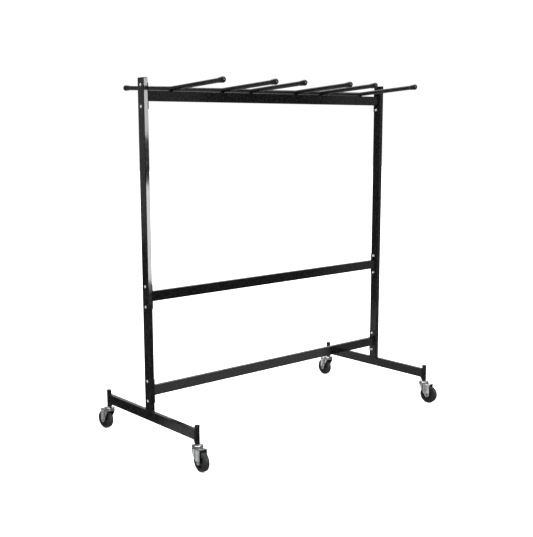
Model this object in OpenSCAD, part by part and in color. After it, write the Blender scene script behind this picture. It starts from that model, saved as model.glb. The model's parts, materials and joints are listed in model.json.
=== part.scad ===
// Rolling clothes rack: two inverted-T end frames, three bolted rails, six hanging arms, four swivel casters.
// Millimetres. The origin is on the floor under the middle of the rack.
// X runs along the rails, -Y is the front and Z is up.

/* [Frame] */
// Width over the two end frames
frame_w = 1673; // [1200:1:1900]
// Height from the floor to the top of the uprights
frame_h = 1802; // [1500:1:2000]
// Distance between the front and back caster sockets
socket_spread = 764; // [560:2:900]
// Face width of every rectangular tube
tube_w = 50; // [45:1:52]
// Thickness of every rectangular tube
tube_t = 25; // [22:1:26]
// Wall of every rectangular tube
tube_wall = 1.5; // [1.2:0.1:2]
// Outside corner radius of every rectangular tube
tube_corner = 3; // [2.5:0.5:4]

/* [Rails] */
// Height of the top rail's middle
top_rail_z = 1718; // [1400:1:1722]
// Height of the middle rail's middle
middle_rail_z = 764.5; // [600:0.5:1000]
// Height of the bottom rail's middle
bottom_rail_z = 293; // [285:0.5:400]
// Thickness of the flange plates on the rail ends
flange_t = 4; // [3:0.5:6]
// Height of the flange plates
flange_h = 122; // [118:1:130]
// Width of the flange plates
flange_w = 46; // [42:1:48]
// Distance between the two bolts of a flange
bolt_spread = 100; // [90:1:104]
// Diameter of the frame bolts
bolt_d = 8; // [6:1:8]

/* [Hanging arms] */
// Diameter of the arm tubes
arm_d = 22; // [20:1:25]
// Wall of the arm tubes
arm_wall = 1.5; // [1.2:0.1:2]
// Distance from the rail's middle plane to the middle of the ball on an arm's end
arm_reach = 392; // [300:2:450]
// Height of the ball above the arm's middle
arm_rise = 21.6; // [10:0.2:40]
// Wide gap between two arms' middles
arm_wide_gap = 316; // [200:2:320]
// Narrow gap between two arms' middles
arm_narrow_gap = 187; // [120:1:190]
// Diameter of the ball on an arm's end
ball_d = 29; // [26:1:32]

/* [Foot beams and sockets] */
// Height of the foot beams' underside
foot_z = 142.5; // [138:0.5:160]
// Outside diameter of the caster sockets
socket_d = 24; // [22:1:25]
// Height of the sockets' lower end
socket_low_z = 125.4; // [123:0.2:126]
// Height of the sockets' upper end
socket_high_z = 207; // [200:1:220]
// Radius of the curved gusset under the beam at each socket
gusset_r = 15; // [8:1:16]

/* [Casters] */
// Wheel diameter
wheel_d = 98; // [90:1:98]
// Wheel tread width
tread_w = 31; // [26:1:32]
// Distance of the axle behind the swivel axis
caster_trail = 33; // [28:1:36]
// How far the front left and back right casters are turned from straight
turn_small = 3.5; // [0:0.5:20]
// How far the front right and back left casters are turned from straight
turn_large = 8; // [0:0.5:20]

/* [Hidden] */
$fn = 48;
CORNERS = ["front_left", "back_left", "front_right", "back_right"];
// Signs of X and Y at each corner
CORNER_SIDES = [[-1, -1], [-1, 1], [1, -1], [1, 1]];
// Directions in which the casters trail, from +X
TRAIL_ANGLES = [-90 - turn_small, 90 + turn_large, -90 + turn_large, 90 - turn_small];
CASTER_PIECES = ["bearing_balls", "fork", "axle_bolt", "axle_nut", "axle_sleeve", "wheel_core", "tyre"];
ARM_NAMES = [for (i = [1:6]) str("hanging_arm_", i)];
FRAME_NODES = [
    "left_upright", "right_upright", "upright_plugs", "left_foot_beam", "right_foot_beam",
    "caster_sockets", "socket_caps", "socket_inserts", "socket_gussets", "foot_welds",
    "top_rail", "middle_rail", "bottom_rail",
    "top_rail_flanges", "middle_rail_flanges", "bottom_rail_flanges", "rail_welds",
    "frame_bolts", "frame_nuts", "arm_end_caps", "arm_welds",
    "caster_stems", "grip_rings", "caster_race_cups"
];

steel_black = "#1c1c1e";
plastic_black = "#101011";
zinc = "#b9bcc0";
rubber_black = "#2a2a2b";
// Cut-outs reach this far past the faces that they open
past = 1;

// Frame
upright_x = frame_w / 2 - tube_t / 2;
foot_top_z = foot_z + tube_w;
plug_t = 3.5;
upright_top_z = frame_h - plug_t;
rail_half = frame_w / 2 - tube_t - flange_t;
rail_heights = [top_rail_z, middle_rail_z, bottom_rail_z];
bolt_clearance = 0.2;
bolt_head_r = 7;
bolt_head_h = 4.2;
nut_across = 13;
nut_h = 6.5;
nut_dome_r = 6;
weld_r = 3.5;

// Arms
rail_top_z = top_rail_z + tube_w / 2;
arm_z = rail_top_z + arm_d / 2;
arm_tilt = atan2(arm_rise, arm_reach);
arm_length = norm([arm_reach, arm_rise]);
// The tube stops this far short of the ball's centre, clear of the ball
arm_end_gap = ball_d / 2 + 0.5;
arm_tube_length = arm_length - arm_end_gap;
arm_middle_x = arm_wide_gap / 2;
arm_xs = [
    -arm_middle_x - arm_narrow_gap - arm_wide_gap, -arm_middle_x - arm_narrow_gap, -arm_middle_x,
    arm_middle_x, arm_middle_x + arm_narrow_gap, arm_middle_x + arm_narrow_gap + arm_wide_gap
];

// Sockets
socket_y = socket_spread / 2;
socket_wall = 1.5;
insert_r = socket_d / 2 - socket_wall;
insert_low_z = socket_low_z + 1;
insert_high_z = 180;
cap_r = socket_d / 2 + 0.8;
cap_h = 10;
cap_edge_r = 3;

// Casters
wheel_r = wheel_d / 2;
core_r = 33;
core_bore_r = 5.06;
core_hub_r = 12;
core_hub_w = 36;
sleeve_r = 5;
sleeve_bore_r = 4.15;
axle_r = 4;
fork_gap = 39;
fork_sheet = 2.5;
crown_low_z = 106.5;
crown_top_z = 109.5;
crown_r = 28;
crown_rim_h = 5;
leg_end_r = 14;
leg_front = caster_trail + leg_end_r;
leg_back = -16.6;
race_r = 24;
race_top_z = 113.5;
ball_r = 2.5;
ball_ring_r = 19;
ball_z = 115;
groove_r = 2.55;
cup_r = 28;
cup_wall = 2.2;
cup_low_z = 111;
cup_face_z = 116.5;
cup_top_z = 122.5;
king_r = 5;
king_clearance = 0.1;
king_head_r = 9;
king_head_low_z = 102.5;
king_head_top_z = 106.1;
stem_r = 5.5;
stem_top_z = 168;
collar_r = 10.5;
ring_low_z = 150;
ring_high_z = 156;

// Puts its children at a corner's socket, turned so that +X is the caster's trailing direction
module at_corner(i) {
    translate([CORNER_SIDES[i][0] * upright_x, CORNER_SIDES[i][1] * socket_y, 0])
        rotate(TRAIL_ANGLES[i])
        children();
}

module at_sockets() {
    for (side = CORNER_SIDES)
        translate([side[0] * upright_x, side[1] * socket_y, 0])
        children();
}

// Puts its children at the middle of each end of every rail, with +X pointing outward
module at_rail_ends(heights) {
    for (z = heights)
        for (turn = [0, 180])
            translate([0, 0, z])
            rotate(turn)
            translate([rail_half, 0, 0])
            children();
}

// Puts its children at every frame bolt, on the upright's inner face, with +X pointing outward
module at_frame_bolts() {
    at_rail_ends(rail_heights)
        for (z = [-bolt_spread / 2, bolt_spread / 2])
            translate([flange_t, 0, z])
            children();
}

// Rectangular bar with rounded long edges, standing on the XY plane
module rounded_bar(x, y, corner, length) {
    linear_extrude(length) {
        square([x - 2 * corner, y], center = true);
        square([x, y - 2 * corner], center = true);
        for (sx = [-1, 1])
            for (sy = [-1, 1])
                translate([sx * (x / 2 - corner), sy * (y / 2 - corner)])
                circle(corner);
    }
}

module rectangular_tube(x, y, length) {
    difference() {
        rounded_bar(x, y, tube_corner, length);
        translate([0, 0, -past])
            rounded_bar(x - 2 * tube_wall, y - 2 * tube_wall, tube_corner - tube_wall, length + 2 * past);
    }
}

module upright(side) {
    color(steel_black)
    difference() {
        translate([side * upright_x, 0, foot_top_z])
            rectangular_tube(tube_t, tube_w, upright_top_z - foot_top_z);
        for (z = rail_heights)
            for (dz = [-bolt_spread / 2, bolt_spread / 2])
                translate([side * upright_x, 0, z + dz])
                rotate([0, 90, 0])
                cylinder(h = tube_t + 2 * past, r = bolt_d / 2 + bolt_clearance, center = true);
    }
}

module upright_plugs() {
    plug_fit = 0.2;
    plug_depth = 16;
    color(plastic_black)
    for (side = [-1, 1])
        translate([side * upright_x, 0, upright_top_z]) {
            rounded_bar(tube_t, tube_w, tube_corner, plug_t - 1.2);
            rounded_bar(tube_t - 2.4, tube_w - 2.4, tube_corner - 0.5, plug_t);
            translate([0, 0, -plug_depth])
                rounded_bar(
                    tube_t - 2 * (tube_wall + plug_fit), tube_w - 2 * (tube_wall + plug_fit), 1, plug_depth
                );
        }
}

// Foot beam, with ends notched to lap round the sockets
module foot_beam(side) {
    end_y = socket_y - 3;
    color(steel_black)
    difference() {
        translate([side * upright_x, end_y, foot_z + tube_w / 2])
            rotate([90, 0, 0])
            rectangular_tube(tube_t, tube_w, 2 * end_y);
        at_sockets()
            translate([0, 0, foot_z - past])
            cylinder(h = tube_w + 2 * past, r = socket_d / 2);
    }
}

module caster_sockets() {
    color(steel_black)
    at_sockets()
        difference() {
            translate([0, 0, socket_low_z])
                cylinder(h = socket_high_z - socket_low_z, r = socket_d / 2);
            translate([0, 0, socket_low_z - past])
                cylinder(h = socket_high_z - socket_low_z + 2 * past, r = insert_r);
        }
}

// Flat-topped cap with a rounded edge and a short plug that sits in the socket
module socket_caps() {
    rim = cap_r - cap_edge_r;
    color(plastic_black)
    at_sockets()
        translate([0, 0, socket_high_z - 2]) {
            difference() {
                rotate_extrude() {
                    square([rim, cap_h]);
                    square([cap_r, cap_h - cap_edge_r]);
                    translate([rim, cap_h - cap_edge_r])
                        intersection() {
                            circle(cap_edge_r);
                            square(cap_edge_r);
                        }
                }
                translate([0, 0, -past])
                    cylinder(h = 2 + past, r = socket_d / 2);
            }
            translate([0, 0, -8])
                cylinder(h = 10, r = insert_r - 0.2);
        }
}

module socket_inserts() {
    color(plastic_black)
    at_sockets()
        difference() {
            translate([0, 0, insert_low_z])
                cylinder(h = insert_high_z - insert_low_z, r = insert_r - 0.1);
            translate([0, 0, insert_low_z - past])
                cylinder(h = insert_high_z - insert_low_z + 2 * past, r = stem_r + 0.2);
        }
}

// Curved web under the beam's end, from the beam down to the socket
module socket_gussets() {
    web_w = tube_t - 2 * tube_corner;
    color(steel_black)
    for (side = CORNER_SIDES)
        translate([side[0] * upright_x, 0, foot_z - gusset_r])
        rotate(side[1] > 0 ? 0 : 180)
        difference() {
            translate([-web_w / 2, socket_y - socket_d / 2 - gusset_r, 0])
                cube([web_w, gusset_r + socket_d / 2 - 2, gusset_r]);
            translate([0, socket_y - socket_d / 2 - gusset_r, 0])
                rotate([0, 90, 0])
                cylinder(h = web_w + 2 * past, r = gusset_r, center = true);
            translate([0, socket_y, -past])
                cylinder(h = gusset_r + 2 * past, r = socket_d / 2);
        }
}

// Beads along the front and back of each upright's base, and on the beam at each socket
module foot_welds() {
    bead_w = tube_t - 2 * tube_corner;
    color(steel_black)
    difference() {
        for (x = [-upright_x, upright_x])
            for (y = [-1, 1]) {
                translate([x, y * tube_w / 2, foot_top_z])
                    rotate([0, 90, 0])
                    cylinder(h = bead_w, r = weld_r, center = true);
                translate([x, y * (socket_y - socket_d / 2), foot_top_z])
                    rotate([0, 90, 0])
                    cylinder(h = bead_w, r = weld_r, center = true);
            }
        at_sockets()
            translate([0, 0, foot_z])
            cylinder(h = tube_w + 2 * weld_r, r = socket_d / 2);
        for (x = [-upright_x, upright_x])
            translate([x, 0, foot_top_z]) {
                translate([0, 0, weld_r])
                    cube([tube_t, tube_w, 2 * weld_r], center = true);
                translate([0, 0, -weld_r])
                    cube([tube_t, socket_spread, 2 * weld_r], center = true);
            }
    }
}

module rail(z) {
    color(steel_black)
    translate([-rail_half, 0, z])
        rotate([0, 90, 0])
        rectangular_tube(tube_w, tube_t, 2 * rail_half);
}

module rail_flanges(z) {
    corner = 4;
    color(steel_black)
    at_rail_ends([z])
        difference() {
            rotate([0, 90, 0])
                rounded_bar(flange_h, flange_w, corner, flange_t);
            for (dz = [-bolt_spread / 2, bolt_spread / 2])
                translate([-past, 0, dz])
                rotate([0, 90, 0])
                cylinder(h = flange_t + 2 * past, r = bolt_d / 2 + bolt_clearance);
        }
}

// Quarter-round weld bead along Z, in the corner between the planes X = 0 and Y = 0
module bead(length) {
    linear_extrude(length, center = true)
        intersection() {
            circle(weld_r);
            square(weld_r);
        }
}

// Beads along the front and back of each rail's end, on the flange plate
module rail_welds() {
    color(steel_black)
    at_rail_ends(rail_heights)
        for (turn = [0, 180])
            rotate([turn, 0, 0])
            translate([0, tube_t / 2, 0])
            rotate(90)
            bead(tube_w - 2 * tube_corner);
}

// Domed heads outside the uprights, with shanks through the tube and the flange plate
module frame_bolts() {
    dome_r = (bolt_head_r * bolt_head_r + bolt_head_h * bolt_head_h) / (2 * bolt_head_h);
    shank_end = flange_t + nut_h - 1;
    color(zinc)
    at_frame_bolts() {
        translate([-shank_end, 0, 0])
            rotate([0, 90, 0])
            cylinder(h = shank_end + tube_t, r = bolt_d / 2);
        translate([tube_t, 0, 0])
            intersection() {
                translate([bolt_head_h - dome_r, 0, 0])
                    sphere(dome_r);
                rotate([0, 90, 0])
                    cylinder(h = bolt_head_h, r = bolt_head_r);
            }
    }
}

// Domed cap nuts on the flange plates
module frame_nuts() {
    color(zinc)
    at_frame_bolts()
        translate([-flange_t, 0, 0])
        rotate([0, -90, 0])
        difference() {
            union() {
                cylinder(h = nut_h, d = nut_across / cos(30), $fn = 6);
                translate([0, 0, nut_h])
                    intersection() {
                        sphere(nut_dome_r);
                        cylinder(h = nut_dome_r, r = nut_dome_r);
                    }
            }
            translate([0, 0, -past])
                cylinder(h = nut_h + past, r = bolt_d / 2);
        }
}

// One half of a hanging arm, from the rail's middle plane toward the ball, with radius r
module half_arm(r, length) {
    difference() {
        translate([0, 0, arm_z])
            rotate([90 - arm_tilt, 0, 0])
            translate([0, 0, -arm_d])
            cylinder(h = length + arm_d, r = r);
        translate([-arm_d, 0, arm_z - 2 * arm_d])
            cube([2 * arm_d, 2 * arm_d, 4 * arm_d]);
    }
}

module hanging_arm(x) {
    color(steel_black)
    translate([x, 0, 0])
        for (turn = [0, 180])
            rotate(turn)
            difference() {
                half_arm(arm_d / 2, arm_tube_length);
                half_arm(arm_d / 2 - arm_wall, arm_tube_length + past);
            }
}

// Moulded ends: a plug in the tube, a flared collar round it and a ball
module arm_end_caps() {
    collar_l = 11;
    collar_inner_r = arm_d / 2 + 0.3;
    collar_outer_r = arm_d / 2 + 1.5;
    flare_r = arm_d / 2 + 2.2;
    color(plastic_black)
    for (x = arm_xs)
        for (turn = [0, 180])
            rotate(turn)
            translate([x, 0, arm_z])
            rotate([90 - arm_tilt, 0, 0])
            translate([0, 0, arm_tube_length]) {
                difference() {
                    translate([0, 0, -collar_l])
                        cylinder(h = collar_l, r1 = collar_outer_r, r2 = flare_r);
                    translate([0, 0, -collar_l - past])
                        cylinder(h = collar_l + past, r = collar_inner_r);
                }
                translate([0, 0, -12])
                    cylinder(h = 12, r = arm_d / 2 - arm_wall - 0.2);
                cylinder(h = arm_end_gap, r = flare_r);
                translate([0, 0, arm_end_gap])
                    sphere(ball_d / 2);
            }
}

// Beads along both sides of each arm where it sits on the top rail
module arm_welds() {
    bead_l = tube_t - 2 * tube_corner;
    color(steel_black)
    difference() {
        for (x = arm_xs)
            for (side = [-1, 1])
                translate([x + side * arm_d * 0.36, bead_l / 2, rail_top_z])
                rotate([90, 0, 0])
                cylinder(h = bead_l, r = weld_r);
        translate([0, 0, rail_top_z - weld_r])
            cube([2 * rail_half, tube_t, 2 * weld_r], center = true);
        for (x = arm_xs)
            for (turn = [0, 180])
                translate([x, 0, 0])
                rotate(turn)
                half_arm(arm_d / 2, 2 * arm_d);
    }
}

// Stem with its collar, the king pin under it and the riveted head
module caster_stems() {
    neck_r = stem_r - 1;
    color(zinc)
    at_sockets()
        difference() {
            union() {
                translate([0, 0, king_head_top_z])
                    cylinder(h = cup_face_z - king_head_top_z, r = king_r);
                translate([0, 0, king_head_low_z])
                    cylinder(h = king_head_top_z - king_head_low_z, r1 = king_head_r - 2, r2 = king_head_r);
                translate([0, 0, cup_top_z])
                    cylinder(h = socket_low_z - cup_top_z - 0.1, r = collar_r);
                translate([0, 0, cup_face_z])
                    cylinder(h = stem_top_z - cup_face_z, r = stem_r);
            }
            translate([0, 0, ring_low_z])
                difference() {
                    cylinder(h = ring_high_z - ring_low_z, r = stem_r + past);
                    translate([0, 0, -past])
                        cylinder(h = ring_high_z - ring_low_z + 2 * past, r = neck_r);
                }
        }
}

// Split spring rings that hold the stems in their sockets
module grip_rings() {
    color(zinc)
    at_sockets()
        translate([0, 0, ring_low_z + 0.2])
        difference() {
            cylinder(h = ring_high_z - ring_low_z - 0.4, r = stem_r + 0.15);
            translate([0, 0, -past])
                cylinder(h = ring_high_z - ring_low_z + 2 * past, r = stem_r - 0.9);
            translate([0, -0.6, -past])
                cube([2 * stem_r, 1.2, ring_high_z - ring_low_z + 2 * past]);
        }
}

// Upper ball race: a dished cup over the balls, with a groove under its face
module caster_race_cups() {
    cone_h = 4;
    cone_in = 6;
    color(zinc)
    at_sockets()
        difference() {
            union() {
                translate([0, 0, cup_low_z])
                    cylinder(h = cup_top_z - cone_h - cup_low_z, r = cup_r);
                translate([0, 0, cup_top_z - cone_h])
                    cylinder(h = cone_h, r1 = cup_r, r2 = cup_r - cone_in);
            }
            translate([0, 0, cup_low_z - past])
                cylinder(h = cup_face_z - cup_low_z + past, r = cup_r - cup_wall);
            translate([0, 0, cup_face_z - past])
                cylinder(h = cup_top_z - cup_face_z + 2 * past, r = stem_r);
            ball_groove();
        }
}

module ball_groove() {
    translate([0, 0, ball_z])
        rotate_extrude()
        translate([ball_ring_r, 0])
        circle(groove_r);
}

// Fork seen from above, drawn in by inset and open at the front: a round back and straight sides
module fork_plan(inset) {
    half_w = fork_gap / 2 + fork_sheet - inset;
    circle(crown_r - inset);
    translate([0, -half_w])
        square([leg_front + inset, 2 * half_w]);
}

// Fork seen from its side: the crown's rim, and a leg that tapers from it to a round end at the axle
module fork_outline() {
    axle_z = wheel_r;
    rim_low_z = crown_top_z - crown_rim_h;
    tangent = 31;
    polygon([
        [-crown_r - past, crown_top_z], [-crown_r - past, rim_low_z], [leg_back, rim_low_z],
        [caster_trail - leg_end_r * cos(tangent), axle_z - leg_end_r * sin(tangent)],
        [caster_trail, axle_z], [leg_front, axle_z], [leg_front, crown_top_z]
    ]);
    translate([caster_trail, axle_z])
        circle(leg_end_r);
}

// Pressed fork: crown plate with the lower ball race on it, and a skirt that runs down into two legs
module fork() {
    color(zinc)
    difference() {
        union() {
            translate([0, 0, crown_low_z])
                linear_extrude(crown_top_z - crown_low_z)
                fork_plan(0);
            translate([0, 0, crown_top_z])
                cylinder(h = race_top_z - crown_top_z, r = race_r);
            intersection() {
                linear_extrude(crown_top_z)
                    difference() {
                        fork_plan(0);
                        fork_plan(fork_sheet);
                    }
                rotate([90, 0, 0])
                    linear_extrude(2 * (crown_r + past), center = true)
                    fork_outline();
            }
        }
        ball_groove();
        translate([0, 0, crown_low_z - past])
            cylinder(h = race_top_z - crown_low_z + 2 * past, r = king_r + king_clearance);
        translate([caster_trail, 0, wheel_r])
            rotate([90, 0, 0])
            cylinder(h = 2 * (crown_r + past), r = axle_r + 0.1, center = true);
    }
}

module bearing_balls() {
    count = 16;
    color(zinc)
        for (i = [1:count])
            rotate(i * 360 / count)
            translate([ball_ring_r, 0, ball_z])
            sphere(ball_r);
}

module axle_bolt() {
    head_h = 5;
    outer = fork_gap / 2 + fork_sheet;
    shank_end = outer + 7.5;
    color(zinc)
    translate([caster_trail, 0, wheel_r])
        rotate([90, 0, 0]) {
            translate([0, 0, -shank_end])
                cylinder(h = shank_end + outer, r = axle_r);
            translate([0, 0, outer])
                cylinder(h = head_h, d = nut_across / cos(30), $fn = 6);
        }
}

module axle_nut() {
    outer = fork_gap / 2 + fork_sheet;
    lock_h = 1.5;
    color(zinc)
    translate([caster_trail, outer, wheel_r])
        rotate([-90, 0, 0])
        difference() {
            union() {
                cylinder(h = nut_h - lock_h, d = nut_across / cos(30), $fn = 6);
                translate([0, 0, nut_h - lock_h])
                    cylinder(h = lock_h, r = nut_across / 2 - 0.6);
            }
            translate([0, 0, -past])
                cylinder(h = nut_h + 2 * past, r = axle_r);
        }
}

module axle_sleeve() {
    color(zinc)
    translate([caster_trail, 0, wheel_r])
        rotate([90, 0, 0])
        difference() {
            cylinder(h = fork_gap, r = sleeve_r, center = true);
            cylinder(h = fork_gap + 2 * past, r = sleeve_bore_r, center = true);
        }
}

// Moulded core: rim, thin web and a hub that runs on the sleeve
module wheel_core() {
    rim_w = 25;
    rim_t = 5;
    web_w = 8;
    color(plastic_black)
    translate([caster_trail, 0, wheel_r])
        rotate([90, 0, 0])
        difference() {
            union() {
                cylinder(h = rim_w, r = core_r, center = true);
                cylinder(h = core_hub_w, r = core_hub_r, center = true);
            }
            for (side = [-1, 1])
                translate([0, 0, side * (web_w / 2 + rim_w / 2)])
                difference() {
                    cylinder(h = rim_w, r = core_r - rim_t, center = true);
                    cylinder(h = 2 * core_hub_w, r = core_hub_r, center = true);
                }
            cylinder(h = core_hub_w + 2 * past, r = core_bore_r, center = true);
        }
}

// Solid tyre with rounded shoulders
module tyre() {
    shoulder_r = 8;
    color(rubber_black)
    translate([caster_trail, 0, wheel_r])
        rotate([90, 0, 0])
        rotate_extrude($fn = 96) {
            translate([core_r, -tread_w / 2])
                square([wheel_r - core_r - shoulder_r, tread_w]);
            translate([core_r, -tread_w / 2 + shoulder_r])
                square([wheel_r - core_r, tread_w - 2 * shoulder_r]);
            for (side = [-1, 1])
                translate([wheel_r - shoulder_r, side * (tread_w / 2 - shoulder_r)])
                circle(shoulder_r);
        }
}

upright(-1);  // left_upright
upright(1);  // right_upright
upright_plugs();
foot_beam(-1);  // left_foot_beam
foot_beam(1);  // right_foot_beam
caster_sockets();
socket_caps();
socket_inserts();
socket_gussets();
foot_welds();
rail(top_rail_z);  // top_rail
rail(middle_rail_z);  // middle_rail
rail(bottom_rail_z);  // bottom_rail
rail_flanges(top_rail_z);  // top_rail_flanges
rail_flanges(middle_rail_z);  // middle_rail_flanges
rail_flanges(bottom_rail_z);  // bottom_rail_flanges
rail_welds();
frame_bolts();
frame_nuts();
arm_end_caps();
arm_welds();
caster_stems();
grip_rings();
caster_race_cups();
for (i = [0:5])
    hanging_arm(arm_xs[i]);
for (i = [0:3]) {
    at_corner(i) bearing_balls();
    at_corner(i) fork();
    at_corner(i) axle_bolt();
    at_corner(i) axle_nut();
    at_corner(i) axle_sleeve();
    at_corner(i) wheel_core();
    at_corner(i) tyre();
}
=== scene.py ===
"""Looks of the rolling clothes rack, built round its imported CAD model.

Everything is in metres, in the CAD's own frame: X runs along the rails, -Y is the front and Z is up.
"""

import json
import math

import bmesh
import bpy
from mathutils import Matrix, Vector


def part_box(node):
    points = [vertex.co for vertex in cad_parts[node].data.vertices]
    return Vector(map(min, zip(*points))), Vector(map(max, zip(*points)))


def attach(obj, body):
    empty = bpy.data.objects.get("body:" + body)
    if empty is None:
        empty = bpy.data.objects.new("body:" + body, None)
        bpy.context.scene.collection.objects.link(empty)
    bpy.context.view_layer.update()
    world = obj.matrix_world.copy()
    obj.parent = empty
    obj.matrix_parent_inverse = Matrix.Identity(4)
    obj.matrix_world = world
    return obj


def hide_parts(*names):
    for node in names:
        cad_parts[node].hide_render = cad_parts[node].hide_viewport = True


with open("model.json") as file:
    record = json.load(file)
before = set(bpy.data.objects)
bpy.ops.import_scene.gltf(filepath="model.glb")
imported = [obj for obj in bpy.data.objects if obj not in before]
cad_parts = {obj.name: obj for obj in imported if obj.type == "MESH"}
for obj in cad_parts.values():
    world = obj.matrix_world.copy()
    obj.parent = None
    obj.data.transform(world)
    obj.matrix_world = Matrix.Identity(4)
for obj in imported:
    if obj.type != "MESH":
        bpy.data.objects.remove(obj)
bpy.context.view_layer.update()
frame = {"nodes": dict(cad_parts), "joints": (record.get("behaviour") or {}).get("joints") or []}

# Places and sizes read from the frame

CORNERS = ("front_left", "back_left", "front_right", "back_right")
SIDES = (-1, 1)


def size_of(node):
    low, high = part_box(node)
    return high - low


def middle_of(node):
    low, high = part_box(node)
    return (low + high) / 2


RIGHT_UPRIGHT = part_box("right_upright")
UPRIGHT_X = middle_of("right_upright").x
TUBE_T = size_of("right_upright").x
TUBE_W = size_of("right_upright").y
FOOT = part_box("right_foot_beam")
FOOT_TOP = FOOT[1].z
RAIL_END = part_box("top_rail")[1].x
RAIL_HEIGHTS = {name: middle_of(name).z for name in ("top_rail", "middle_rail", "bottom_rail")}
FLANGE = size_of("top_rail_flanges")
FLANGE_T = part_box("top_rail_flanges")[1].x - RAIL_END
SOCKET_Y = next(j["pos_m"][1] for j in frame["joints"] if j["name"] == "back_right_swivel")
SOCKET_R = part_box("caster_sockets")[1].x - UPRIGHT_X
CAP_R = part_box("socket_caps")[1].x - UPRIGHT_X
CUP_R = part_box("caster_race_cups")[1].x - UPRIGHT_X
ARMS = [f"hanging_arm_{number}" for number in range(1, 7)]
ARM_R = size_of("hanging_arm_1").x / 2
RAIL_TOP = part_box("top_rail")[1].z
ARM_Z = RAIL_TOP + ARM_R
WHEEL_R = size_of("front_left_tyre").z / 2
AXLE_Z = middle_of("front_left_tyre").z

# Sizes that no node's box tells

TUBE_CORNER = 0.003
TUBE_WALL = 0.0015
BOLT_SPREAD = 0.100
BOLT_HEAD_R = 0.007
BOLT_HEAD_H = 0.0042
SHANK_R = 0.004
NUT_ACROSS = 0.013
NUT_H = 0.0065
WELD_R = 0.0034
BALL_R = 0.0145
ARM_REACH = 0.392
ARM_RISE = 0.0216
ARM_END_GAP = BALL_R + 0.0005
FORK_HALF_W = 0.022
FORK_SHEET = 0.0025
CROWN_TOP = 0.1095
CROWN_R = 0.028
CROWN_RIM_H = 0.005
LEG_BACK = -0.0166
LEG_END_R = 0.014
HUB_HALF_W = 0.018
CORE_R = 0.033
TREAD_HALF_W = 0.0155

# Edges that turn by more than this are drawn sharp
SHARP = math.radians(33)


# Materials


class Graph:
    """A short way to write down the nodes of one material."""

    def __init__(self, name, **own):
        self.material = bpy.data.materials.new(name)
        self.material.use_nodes = True
        self.tree = self.material.node_tree
        self.shader = self.tree.nodes["Principled BSDF"]
        for key, value in own.items():
            self.shader.inputs[key.replace("_", " ")].default_value = value
        self.place = self.node("TexCoord").outputs["Object"]

    def node(self, kind, inputs=(), **settings):
        made = self.tree.nodes.new("ShaderNode" + kind)
        for key, value in settings.items():
            setattr(made, key, value)
        for key, value in dict(inputs).items():
            if isinstance(value, bpy.types.NodeSocket):
                self.tree.links.new(value, made.inputs[key])
            else:
                made.inputs[key].default_value = value
        return made

    def noise(self, scale, detail=2.0, stretch=None):
        """Noise in steps of about 1 / scale metres. stretch draws it out along an axis."""
        place = self.place
        if stretch:
            place = self.node("Mapping", {"Vector": place, "Scale": stretch}).outputs["Vector"]
        inputs = {"Vector": place, "Scale": scale, "Detail": detail}
        return self.node("TexNoise", inputs).outputs["Fac"]

    def remap(self, value, low, high, to_low=0.0, to_high=1.0):
        inputs = {"Value": value, "From Min": low, "From Max": high, "To Min": to_low, "To Max": to_high}
        return self.node("MapRange", inputs).outputs["Result"]

    def maths(self, operation, a, b):
        return self.node("Math", {0: a, 1: b}, operation=operation).outputs["Value"]

    def mix(self, share, a, b):
        """Colour a where share is 0, and b where it is 1."""
        made = self.node("Mix", {"Factor": share}, data_type="RGBA")
        for socket, value in ((made.inputs[6], a), (made.inputs[7], b)):
            if isinstance(value, bpy.types.NodeSocket):
                self.tree.links.new(value, socket)
            else:
                socket.default_value = (*value, 1)
        return made.outputs[2]

    def facing_up(self):
        """1 on faces that look up, where dust settles, falling to 0 on upright faces."""
        normal = self.node("TexCoord").outputs["Normal"]
        z = self.node("SeparateXYZ", {"Vector": normal}).outputs["Z"]
        return self.remap(z, 0.25, 0.95)

    def edges(self):
        """1 on outside edges and 0 on flat faces."""
        return self.remap(self.node("NewGeometry").outputs["Pointiness"], 0.51, 0.6)

    def finish(self, colour=None, roughness=None, bump=None, depth=0.0001, strength=0.3):
        if colour:
            self.tree.links.new(colour, self.shader.inputs["Base Color"])
        if roughness:
            self.tree.links.new(roughness, self.shader.inputs["Roughness"])
        if bump:
            inputs = {"Height": bump, "Distance": depth, "Strength": strength}
            normal = self.node("Bump", inputs).outputs["Normal"]
            self.tree.links.new(normal, self.shader.inputs["Normal"])
        return self.material


def powder_coat():
    """Gloss black powder coat: orange peel, handling rubs, dust on top faces, edges worn a little grey."""
    g = Graph("gloss_black_powder_coat")
    rubs = g.remap(g.noise(14, 6), 0.52, 0.7)
    dust = g.maths("MULTIPLY", g.facing_up(), g.remap(g.noise(55, 4), 0.3, 0.8, 0.25, 1))
    wear = g.maths("MULTIPLY", g.edges(), g.remap(g.noise(90, 5), 0.45, 0.7))
    colour = g.mix(g.remap(g.noise(4, 2), 0.3, 0.7), (0.0022, 0.0022, 0.0024), (0.0038, 0.0038, 0.0041))
    colour = g.mix(g.maths("MULTIPLY", dust, 0.03), colour, (0.09, 0.087, 0.082))
    colour = g.mix(g.maths("MULTIPLY", wear, 0.25), colour, (0.06, 0.06, 0.062))
    roughness = g.remap(g.noise(30, 3), 0.3, 0.7, 0.06, 0.1)
    roughness = g.maths("ADD", roughness, g.maths("MULTIPLY", rubs, 0.04))
    roughness = g.maths("ADD", roughness, g.maths("MULTIPLY", dust, 0.1))
    return g.finish(colour, roughness, g.noise(300, 1), 0.0001, 0.012)


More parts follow.
